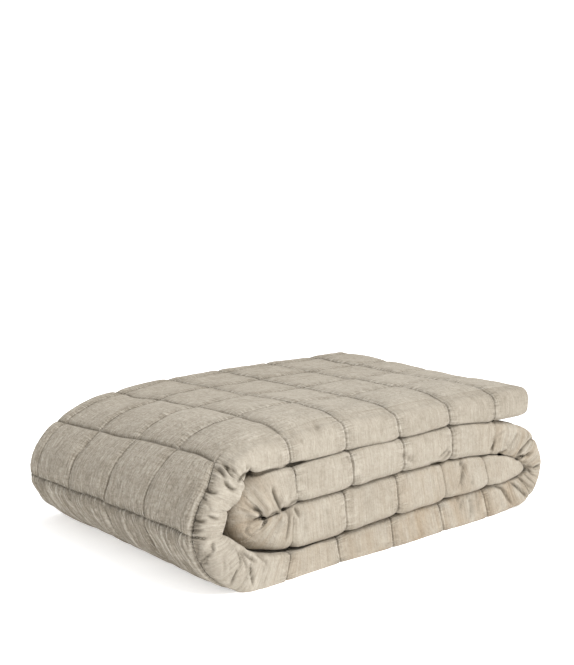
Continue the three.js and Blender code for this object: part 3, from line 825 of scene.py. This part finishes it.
def creases_at(c, places):
    """How far the creases move each point outwards, how dark the painted shade of its fold line is, and its
    change of tone: painted shade in the troughs, painted highlight on lips and ridges.
    """
    front = np.flatnonzero((c["deep"] < 0.12) & (c["face"] != HIDDEN))
    seen = seen_on_plane(places[front])
    sunk = np.zeros(len(front))
    moved = np.zeros(len(front))
    dark = np.zeros(len(front))
    tone = np.zeros(len(front))
    for line, deep, reach, darkness in CREASES:
        box = np.array(line)
        low = box.min(0) - reach
        high = box.max(0) + reach
        inside = np.flatnonzero(((seen > low) & (seen < high)).all(1))
        distance, along = near_line(seen[inside], line)
        taper = 1 - 0.8 * np.abs(2 * along - 1) ** 3
        share = np.clip(distance / reach, 0, 1)
        if deep > 0:
            sunk[inside] = np.maximum(sunk[inside], deep * taper * (1 - share) ** 2)
            # painted shade: a dark line along the crease and a darker trough round it, with a painted
            # highlight on the lip beside it
            line_dark = 1.4 * darkness * taper * bell(distance, 0.014 + 0.006 * darkness)
            dark[inside] = np.maximum(dark[inside], line_dark)
            shade = -taper * min(deep * 11, 0.5) * bell(distance, 0.018 + 0.18 * reach)
            painted_lip_highlight = 0.3 * darkness * taper * bell(distance - 0.05, 0.016)
            tone[inside] = np.minimum(tone[inside], shade) + painted_lip_highlight
        else:
            moved[inside] -= deep * taper * (1 - share ** 2) ** 2
            # painted highlight along the ridge
            lit = min(-deep * 14, 0.4)
            tone[inside] += taper * lit * bell(distance, 0.5 * reach)
    total = np.zeros((len(places), 3))
    total[front, 0] = moved - sunk
    total[front, 1] = np.clip(dark, 0, 1)
    total[front, 2] = np.clip(tone, -0.6, 0.5)
    return total


def build_cloth():
    """Point places, faces and cloth coordinates of the whole folded bedspread."""
    line = make_outline()
    kinds = line.kinds()
    rows = {kind: row_places(kind) for kind in set(kinds)}
    counts = np.array([len(rows[kind]) for kind in kinds])
    starts = np.concatenate([[0], np.cumsum(counts)[:-1]])
    c = {name: np.repeat(line.field(name), counts) for name in COLUMN_FIELDS}
    c["face"] = np.repeat(line.faces(), counts)
    c["seam"] = np.concatenate([rows[kind] for kind in kinds])
    faces = []
    for column, kind in enumerate(kinds):
        beside = (column + 1) % len(kinds)
        faces += join_columns(starts[column], rows[kind], starts[beside], rows[kinds[beside]])
    faces.append([int(start) for start in starts])
    faces.append([int(start + count - 1) for start, count in zip(starts, counts)][::-1])
    shape_rim(c)
    places = plain_form(c)
    normals = point_normals(places, faces)
    places = places + normals * dents(c)[:, None]
    normals = point_normals(places, faces)
    creased = creases_at(c, places)
    places = places + normals * creased[:, :1]
    # the creases' painted shade lines, and their painted shade and highlight
    c["crease"] = creased[:, 1]
    c["tone"] = creased[:, 2]
    places[:, 2] = np.maximum(places[:, 2], 0)
    return places, faces, c, line, rows, starts


def join_columns(start_a, rows_a, start_b, rows_b):
    """Faces between two neighbouring columns, whose rows may differ."""
    if len(rows_a) == len(rows_b):
        return [
            [int(start_a + k), int(start_a + k + 1), int(start_b + k + 1), int(start_b + k)]
            for k in range(len(rows_a) - 1)
        ]
    faces = []
    a = 0
    b = 0
    while a < len(rows_a) - 1 or b < len(rows_b) - 1:
        next_a = rows_a[a + 1] if a < len(rows_a) - 1 else math.inf
        next_b = rows_b[b + 1] if b < len(rows_b) - 1 else math.inf
        if abs(next_a - next_b) < SAME_PLACE:
            faces.append([int(start_a + a), int(start_a + a + 1), int(start_b + b + 1), int(start_b + b)])
            a += 1
            b += 1
        elif next_a < next_b:
            faces.append([int(start_a + a), int(start_a + a + 1), int(start_b + b)])
            a += 1
        else:
            faces.append([int(start_a + a), int(start_b + b + 1), int(start_b + b)])
            b += 1
    return faces


def point_normals(places, faces):
    """Unit normals of the points, weighted by the faces' areas; the two end caps are left out."""
    corners = np.array([face if len(face) == 4 else face + [face[-1]] for face in faces[:-2]])
    a, b, c, d = (places[corners[:, k]] for k in range(4))
    normal = np.cross(c - a, d - b)
    total = np.zeros_like(places)
    for k in range(4):
        np.add.at(total, corners[:, k], normal)
    return total / np.maximum(np.linalg.norm(total, axis=1, keepdims=True), 1e-12)


def add_mesh(name, places, faces):
    mesh = bpy.data.meshes.new(name)
    mesh.from_pydata(places.tolist(), [], faces)
    mesh.update()
    mesh.shade_smooth()
    piece = bpy.data.objects.new(name, mesh)
    bpy.context.collection.objects.link(piece)
    return piece


# Stitches, in metres
STITCH_PITCH = 0.0042
STITCH_LENGTH = 0.0032
THREAD_RADIUS = 0.0004
STITCH_CLEARANCE = 0.001  # no stitch is made closer to the floor
BEADS = 15  # stitches to a square's side that show as beads
WHOLE_SEAMS = 8  # cross seams up to this one are sewn over the whole face, and later ones only near the rim
LONG_SEAMS_END = 8.2  # the long seams show from the free end as far as here


def seam_lines(places, normals, line, rows, starts):
    """The sewn lines that show: points and normals along each, in metres."""
    lines = []
    kinds = line.kinds()
    for seam in range(1, LAST_SEAM):
        shown = ("fine", "outer") if seam <= WHOLE_SEAMS else ("fine",)
        columns = [column for column, kind in enumerate(kinds) if kind in shown]
        index = [starts[k] + int(np.argmin(np.abs(rows[kinds[k]] - seam))) for k in columns]
        lines.append((places[index], normals[index]))
    for deep in range(math.ceil(STRIP_DEPTH)):
        away = np.where(line.faces() == OUTER, np.abs(line.field("deep") - deep), math.inf)
        column = int(np.argmin(away))
        index = starts[column] + np.flatnonzero(rows[kinds[column]] < LONG_SEAMS_END)
        lines.append((places[index], normals[index]))
    return lines


def stitch_run(points, normals):
    """Middle, direction and normal of each stitch along one sewn line, in metres."""
    lengths = np.linalg.norm(np.diff(points, axis=0), axis=1)
    along = np.concatenate([[0], np.cumsum(lengths)])
    middles = np.arange(STITCH_PITCH / 2, along[-1] - STITCH_PITCH / 2, STITCH_PITCH)

    def at(values, where):
        return np.stack([np.interp(where, along, values[:, k]) for k in range(3)], -1)

    middle = at(points, middles)
    way = at(points, middles + STITCH_LENGTH / 2) - at(points, middles - STITCH_LENGTH / 2)
    way = way / np.maximum(np.linalg.norm(way, axis=1, keepdims=True), 1e-9)
    normal = at(normals, middles)
    normal = normal - way * (normal * way).sum(1, keepdims=True)
    return middle, way, normal / np.maximum(np.linalg.norm(normal, axis=1, keepdims=True), 1e-9)


# One stitch's rings: place along it, width and sink, as shares of its length and of the thread's radius
STITCH_RINGS = ((-0.5, 0.05, -0.8), (-0.3, 0.9, 0.0), (0.3, 0.9, 0.0), (0.5, 0.05, -0.8))
STITCH_SIDES = 6


def add_stitch(places, faces, middle, way, normal, side):
    first = len(places)
    sides = range(STITCH_SIDES)
    for share, wide, sunk in STITCH_RINGS:
        centre = middle + way * STITCH_LENGTH * share + normal * THREAD_RADIUS * (0.3 + sunk)
        for k in sides:
            angle = 2 * math.pi * k / STITCH_SIDES
            reach = THREAD_RADIUS * wide
            places.append(centre + reach * (math.cos(angle) * side + math.sin(angle) * normal))
    last = first + (len(STITCH_RINGS) - 1) * STITCH_SIDES
    for ring in range(first, last, STITCH_SIDES):
        for k in sides:
            a = ring + k
            b = ring + (k + 1) % STITCH_SIDES
            faces.append([a, a + STITCH_SIDES, b + STITCH_SIDES, b])
    faces.append([first + k for k in sides])
    faces.append([last + k for k in sides][::-1])


def build_stitches(lines):
    places = []
    faces = []
    for points, normals in lines:
        middles, ways, uprights = stitch_run(points, normals)
        for middle, way, normal, side in zip(middles, ways, uprights, np.cross(ways, uprights)):
            if middle[2] >= STITCH_CLEARANCE:
                add_stitch(places, faces, middle, way, normal, side)
    return np.array(places), faces


class Nodes:
    """Short hand for the nodes of one material or world."""

    def __init__(self, owner):
        self.owner = owner
        owner.use_nodes = True
        self.tree = owner.node_tree
        self.tree.nodes.clear()

    def new(self, kind, inputs=None, **settings):
        """A node with its settings, and with each input linked to a socket or set to a value."""
        node = self.tree.nodes.new(kind)
        for key, value in settings.items():
            setattr(node, key, value)
        for key, value in (inputs or {}).items():
            if isinstance(value, bpy.types.NodeSocket):
                self.tree.links.new(value, node.inputs[key])
            else:
                node.inputs[key].default_value = value
        return node

    def math(self, operation, a, b=0.0):
        return self.new("ShaderNodeMath", {0: a, 1: b}, operation=operation).outputs[0]

    def plus(self, a, b):
        return self.math("ADD", a, b)

    def times(self, a, b):
        return self.math("MULTIPLY", a, b)

    def total(self, first, *others):
        """Sum of values, each given with its share."""
        whole = self.times(*first)
        for value, share in others:
            whole = self.plus(whole, self.times(value, share))
        return whole

    def split(self, vector):
        return tuple(self.new("ShaderNodeSeparateXYZ", {"Vector": vector}).outputs)

    def join(self, x, y):
        return self.new("ShaderNodeCombineXYZ", {"X": x, "Y": y}).outputs["Vector"]

    def field(self, name):
        """The three numbers of one field of the mesh."""
        return self.split(self.new("ShaderNodeAttribute", attribute_name=name).outputs["Vector"])

    def place(self):
        return self.new("ShaderNodeTexCoord").outputs["Object"]

    def noise(self, vector, scale, detail=2.0, roughness=0.5):
        inputs = {"Vector": vector, "Scale": scale, "Detail": detail, "Roughness": roughness}
        return self.new("ShaderNodeTexNoise", inputs).outputs["Fac"]

    def centred(self, vector, scale, detail, roughness=0.5):
        """Noise from about -1 to 1."""
        return self.times(self.plus(self.noise(vector, scale, detail, roughness), -0.5), 2.6)

    def crests(self, vector, scale=1.0):
        """Folds with sharp troughs and round crowns, from about -0.6 to 0.6."""
        ridge = self.math("ABSOLUTE", self.times(self.plus(self.noise(vector, scale), -0.5), 3.4))
        return self.plus(self.math("POWER", ridge, 0.6), -0.6)

    def ramp(self, value, low, high, to_low=0.0, to_high=1.0):
        inputs = {"Value": value, "From Min": low, "From Max": high, "To Min": to_low, "To Max": to_high}
        return self.new("ShaderNodeMapRange", inputs).outputs["Result"]

    def near(self, distance, reach):
        """1 at the seam, falling softly to 0 at the reach."""
        share = self.ramp(distance, reach, 0.0)
        return self.times(share, share)

    def mix(self, share, a, b):
        return self.new("ShaderNodeMix", {0: share, 6: a, 7: b}, data_type="RGBA").outputs[2]

    def bump(self, height, strength, distance):
        inputs = {"Strength": strength, "Distance": distance, "Height": height}
        return self.new("ShaderNodeBump", inputs).outputs["Normal"]

    def finish(self, inputs):
        """Ends a material with its shader."""
        shader = self.new("ShaderNodeBsdfPrincipled", inputs)
        self.new("ShaderNodeOutputMaterial", {"Surface": shader.outputs["BSDF"]})
        return self.owner


DARK_STONE = (0.235, 0.203, 0.157, 1)
LIGHT_STONE = (0.51, 0.465, 0.393, 1)
DARK_TAN = (0.18, 0.13, 0.082, 1)
LIGHT_TAN = (0.4, 0.325, 0.232, 1)
# the colour of the seam and crease lines: at the seams partly the pile pressed in by the stitching and
# partly painted shade of the groove, at the creases painted shade
SEAM_SHADE = (0.1, 0.084, 0.06, 1)
SHEEN_TINT = (0.93, 0.88, 0.8, 1)


def velvet_material():
    n = Nodes(bpy.data.materials.new("washed_velvet"))
    u, v, tan_and_roll_shade = n.field("cloth")
    to_cross, to_long, seam_dark = n.field("seams")
    gather_cross, gather_long, bars = n.field("gather")
    crease, painted_shade_and_highlight, slants = n.field("folds")
    place = n.place()
    on_faces = n.ramp(v, 0.1, -0.1)
    rough_hang = n.times(on_faces, n.ramp(u, 5.2, 6.2))

    def here(everywhere, faces, hanging):
        """A share with more or less of it on the faces, and on those that hang at the left and go under."""
        return n.plus(everywhere, n.total((on_faces, faces), (rough_hang, hanging)))

    # short folds that run away from each seam, different on its two sides
    cross_place = n.join(n.times(v, 22.0), n.total((n.math("FLOOR", u), 5.3), (u, 2.6)))
    long_place = n.join(n.times(u, 22.0), n.total((n.math("FLOOR", v), 5.3), (v, 2.6)))
    cross_folds = n.times(n.plus(n.crests(cross_place), 0.14), n.near(to_cross, 0.33))
    long_folds = n.times(n.plus(n.crests(long_place), 0.08), n.near(to_long, 0.27))
    pucker = n.total((cross_folds, gather_cross), (long_folds, gather_long))
    # long slanting folds on the lower left face
    slant_place = n.join(n.times(n.plus(v, n.times(u, -0.28)), 10.0), u)
    slant_folds = n.times(n.crests(slant_place), slants)
    # bars where the rim is squeezed
    bar_relief = n.times(n.centred(n.join(n.times(u, 15.0), n.times(v, 2.4)), 1.0, 2.5), bars)
    # crushed pile: broad patches, crumples, streaks both ways, and the fine pile itself
    mottle = n.centred(place, 240.0, 4.0, 0.7)
    crumple = n.crests(place, 110.0)
    nap = n.centred(place, 29.0, 4.0, 0.6)
    pile = n.centred(place, 360.0, 1.0, 0.7)
    cloud = n.centred(place, 85.0, 3.0, 0.55)
    wavy_v = n.plus(v, n.times(nap, 0.03))
    wavy_u = n.plus(u, n.times(nap, 0.03))
    along = n.centred(n.join(n.times(u, 3.2), n.times(wavy_v, 44.0)), 1.0, 2.0, 0.75)
    crossing = n.centred(n.join(n.times(wavy_u, 44.0), n.times(v, 4.0)), 1.0, 2.0, 0.75)
    streaks = n.total((along, here(0.1, 0.42, 0.34)), (crossing, here(0.34, -0.04, -0.08)))
    crumpled = n.times(crumple, here(0.12, 0.16, 0.05))
    rough = n.total((mottle, 0.22), (pile, 0.24))

    # painted highlights: the ridges beside the seams are drawn paler
    painted_highlight_cross = n.near(n.math("ABSOLUTE", n.plus(to_cross, -0.03)), 0.02)
    painted_highlight_long = n.near(n.math("ABSOLUTE", n.plus(to_long, -0.03)), 0.02)
    # the tone: the pile's own patches, streaks and mottle, with painted shade and highlight: besides their
    # bumps, the puckers, bars, slanting folds and crumples are drawn darker in their troughs and paler on
    # their crowns, and the creases add their own painted shade and highlight
    tone = n.total(
        (mottle, 0.18), (pile, 0.14), (cloud, 0.2), (rough, here(0.0, 0.5, 0.7)), (streaks, 1.0),
        (nap, 0.22), (pucker, 1.7), (bar_relief, 0.4), (slant_folds, 1.5), (crumpled, 1.0),
        (painted_highlight_cross, 0.46), (painted_highlight_long, 0.46), (painted_shade_and_highlight, 1.0),
    )
    share = n.ramp(tone, -0.75, 0.75)
    # tan patches: the washed cloth's own tan, and painted shade in the small roll at the left
    warm_place = n.ramp(n.noise(n.join(n.times(u, 3.5), n.times(v, 1.6)), 1.0, 4.0, 0.65), 0.36, 0.64)
    tan_and_roll_shade_share = n.times(n.times(tan_and_roll_shade, warm_place), 0.95)
    colour = n.mix(tan_and_roll_shade_share, n.mix(share, DARK_STONE, LIGHT_STONE), n.mix(share, DARK_TAN, LIGHT_TAN))
    # the seam lines are painted darker, more at every stitch: partly the pile pressed in by the stitching,
    # partly painted shade of the groove; the crease lines are painted shade
    on_cross = n.math("LESS_THAN", to_cross, to_long)
    way = n.plus(n.times(v, on_cross), n.times(u, n.plus(1.0, n.times(on_cross, -1.0))))
    beads = n.math("SINE", n.times(n.plus(way, n.times(nap, 0.02)), 2 * math.pi * BEADS))
    seam_dark = n.times(seam_dark, n.plus(0.7, n.total((beads, 0.22), (mottle, 0.3))))
    line_dark = n.math("MAXIMUM", n.times(seam_dark, 0.85), n.times(crease, 0.95))

    relief = n.total(
        (pucker, 2.8), (bar_relief, 1.2), (slant_folds, 3.4), (seam_dark, -0.8), (crumpled, 2.5),
        (streaks, 1.0), (mottle, 0.5), (pile, 0.15),
    )
    return n.finish({
        "Base Color": n.mix(line_dark, colour, SEAM_SHADE),
        "Roughness": n.ramp(share, 0.0, 1.0, 0.95, 0.8),
        "Specular IOR Level": 0.15,
        "Sheen Weight": 0.1,
        "Sheen Roughness": 0.5,
        "Sheen Tint": SHEEN_TINT,
        "Normal": n.bump(relief, 1.0, 0.001),
    })


def thread_material():
    n = Nodes(bpy.data.materials.new("sewing_thread"))
    twist = n.noise(n.place(), 900.0)
    return n.finish({
        "Base Color": n.mix(twist, (0.32, 0.285, 0.23, 1), (0.42, 0.38, 0.315, 1)),
        "Roughness": 0.7,
        "Specular IOR Level": 0.25,
        "Normal": n.bump(twist, 0.4, 0.0002),
    })


def floor_material():
    n = Nodes(bpy.data.materials.new("pale_floor"))
    return n.finish({
        "Base Color": n.mix(n.noise(n.place(), 40.0), (0.92, 0.92, 0.92, 1), (0.94, 0.94, 0.94, 1)),
        "Roughness": 0.9,
        "Specular IOR Level": 0.1,
        "Emission Color": (1, 1, 1, 1),
        "Emission Strength": FLOOR_GLOW,
    })


# How far the cloth is drawn tan: the washed cloth's own tan on the bottom layer, round the right fold and on
# the third layer, and painted shade, darker and warmer, in the small roll at the left: seam, share
TAN_AND_ROLL_SHADE = np.array([
    (0, 0), (8.3, 0.05), (9, 0.45), (10.5, 0.5), (11.2, 0.95), (13.2, 0.85), (14.2, 0.55), (15.4, 0.7),
    (16.6, 0.1), (20.2, 0.05), (21, 0.7), (22.2, 0.8), (22.8, 0.3), (24.5, 0.15), (25.5, 0.55),
    (27, 0.35), (28, 0.2),
])


# Painted shade on the rim: how much darker the rim is drawn than the rest: seam, tone
RIM_PAINTED_SHADE = np.array([
    (0, -0.4), (1, -0.36), (2, -0.2), (5, -0.12), (5.8, 0), (8.6, 0), (9.4, -0.07), (13, -0.08),
    (13.8, -0.12), (15.8, -0.12), (17, -0.14), (20, -0.1), (20.4, -0.05), (22.8, -0.05), (24, -0.12),
    (28, -0.1),
])


def seam_marks(c):
    """Way to each point's cross and long seams, how dark their lines are there (partly the pile pressed in
    by the stitching, partly painted shade of the groove), and how strongly each shows.
    """
    seam = c["seam"]
    across = c["across"]
    rim = c["face"] == RIM
    on_face = at_each_seam(FACE_SEAM_STRENGTH, seam)
    on_rim = at_each_seam(RIM_SEAM_STRENGTH, seam)
    strength = on_face + (on_rim - on_face) * smoothstep(across, -0.12, 0.1)
    seamed = front_seam_strength(seam)
    long_strength = np.where(rim, seamed, 1 - (1 - seamed) * bell(across, FRONT_REACH))
    top = 1 - smoothstep(seam, 5.3, 6.0)
    to_cross = from_seam(seam)
    to_long = np.where(rim, across, from_seam(across))
    line = strength * bell(to_cross, np.where(rim, 0.009, 0.011)) * np.where(rim, 0.5, 0.8)
    line = np.maximum(line, long_strength * bell(to_long, 0.012 + 0.007 * top))
    # a seam that hardly shows counts as further away, and on the hidden faces only thin lines are drawn
    hidden = c["face"] == HIDDEN
    line = np.where(hidden, 0.7 * bell(to_cross, 0.012), line)
    to_cross = np.where(hidden, 1, to_cross + 0.3 * (1 - strength))
    to_long = np.where(hidden, 1, to_long + 0.3 * (1 - long_strength))
    return (to_cross, to_long, line), strength, long_strength


def gathering(c, strength, long_strength):
    """How much the cloth is gathered at its cross and its long seams, and squeezed into bars."""
    seam = c["seam"]
    rim = c["face"] == RIM
    open_here = openness(seam)
    left = smoothstep(seam, 5.7, 6.8) * open_here
    folded = outer_fold(seam) * (1 - smoothstep(seam, 7.6, 8.2))
    gather_cross = np.where(rim, 0.6 * strength, 0.9 + 2.2 * left)
    gather_long = np.where(rim, 0.2 + folded, long_strength * (0.9 - 0.55 * left))
    below = smoothstep(seam, 6.9, 7.2) * (1 - 0.7 * smoothstep(seam, 9.0, 10.0)) * open_here
    bars = np.where(rim, 0.35 + 0.65 * crowding(seam), 0.25 + 0.6 * below)
    return gather_cross, gather_long, bars * (1 - between(seam, 20.0, 20.5, 22.6, 23.2))


def painted_shade_and_highlight(c, low_left):
    """Painted shade and highlight: the creases' own, and painted shade on the rim, on the small roll's left
    side, on the outer fold's wrap, far back on the top and on the left face, less on its lower part.
    """
    seam = c["seam"]
    outer = c["face"] == OUTER
    top = 1 - smoothstep(seam, 5.3, 6.0)
    roll = between(seam, 20.2, 20.5, 22.0, 22.5) * (1 - smoothstep(c["turn"], 0.5, 1.5))
    wrap = outer_fold(seam) * bell(c["across"], 0.13)
    # painted shade on the rim, deepest on the small roll's left side and on the outer fold's wrap
    on_rim = linear(RIM_PAINTED_SHADE, seam) - 0.48 * roll - 0.42 * wrap
    # painted shade far back on the top, and on the left face, less on its lower part
    far_back_shade = 0.2 * top * smoothstep(-c["across"], 1.2, 3.6)
    left = (0.17 - 0.14 * low_left) * (1 - top) * (1 - smoothstep(seam, 7.9, 8.3))
    shaded = on_rim * (c["face"] == RIM) - (far_back_shade + left) * outer
    return np.maximum(c["tone"] + shaded, -0.7)


def material_fields(c):
    """The fields that the velvet reads, each of three numbers for every point."""
    seam = c["seam"]
    on_face = c["across"] < -0.04
    low_left = between(seam, 6.95, 7.1, 8.1, 8.4) * on_face
    slants = low_left + 0.25 * (smoothstep(seam, 6.0, 6.9) - smoothstep(seam, 6.95, 7.1)) * on_face
    seams, strength, long_strength = seam_marks(c)
    return {
        "cloth": (seam, c["across"], linear(TAN_AND_ROLL_SHADE, seam)),
        "seams": seams,
        "gather": gathering(c, strength, long_strength),
        "folds": (c["crease"], painted_shade_and_highlight(c, low_left), slants),
    }


def make_bedspread():
    places, faces, c, line, rows, starts = build_cloth()
    metres = to_row_frame(places)
    normals = point_normals(places, faces)
    cloth = add_mesh("quilted_cloth", metres, faces)
    for name, values in material_fields(c).items():
        attribute = cloth.data.attributes.new(name, "FLOAT_VECTOR", "POINT")
        attribute.data.foreach_set("vector", np.stack(values, -1).astype(np.float32).ravel())
    cloth.data.materials.append(velvet_material())
    stitching = add_mesh("stitching", *build_stitches(seam_lines(metres, normals, line, rows, starts)))
    stitching.data.materials.append(thread_material())
    return cloth, stitching


FLOOR_REACH = 45.0  # metres from the middle to each side


def make_floor():
    signs = np.array([(-1, -1, 0), (1, -1, 0), (1, 1, 0), (-1, 1, 0)], float)
    floor = add_mesh("floor", FLOOR_REACH * signs, [[0, 1, 2, 3]])
    floor.data.materials.append(floor_material())


STUDIO = 1.05  # brightness of the studio
LEFT_STUDIO = 0.6  # its brightness at the far left
KEY_LIGHT = 2.65  # watts a square metre
LEFT_LIGHT = 0.3
FLOOR_GLOW = 0.48  # the paper under the object is lit from below as well


def sun(name, way, strength, spread_angle):
    """A very soft light from far away, shining along the given way."""
    data = bpy.data.lights.new(name, "SUN")
    data.energy = strength
    data.angle = math.radians(spread_angle)
    light = bpy.data.objects.new(name, data)
    light.rotation_euler = Vector(way).to_track_quat("-Z", "Y").to_euler()
    bpy.context.collection.objects.link(light)


def make_light():
    """A white studio that is dimmer on the left, a broad key light, and a weak light from the left."""
    n = Nodes(bpy.data.worlds.new("studio"))
    x, _, z = n.split(n.new("ShaderNodeTexCoord").outputs["Generated"])
    dimming = n.ramp(x, -0.75, 0.35, LEFT_STUDIO, STUDIO)
    # the horizon is white all round
    horizon = n.ramp(z, 0.03, 0.1, STUDIO, 0.0)
    inputs = {"Color": (1, 1, 1, 1), "Strength": n.math("MAXIMUM", dimming, horizon)}
    background = n.new("ShaderNodeBackground", inputs)
    n.new("ShaderNodeOutputWorld", {"Surface": background.outputs["Background"]})
    bpy.context.scene.world = n.owner
    sun("key_light", (-0.4, 0.82, -1.16), KEY_LIGHT, 26)
    sun("left_light", (0.6, 0.8, -0.4), LEFT_LIGHT, 25)


make_camera()
bedspread_cloth, bedspread_stitches = make_bedspread()
for piece, finish_slot in ((bedspread_cloth, "velvet"), (bedspread_stitches, "thread")):
    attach(piece, "root")
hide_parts("bedspread")
make_floor()
make_light()
bpy.context.scene.view_settings.view_transform = "Standard"
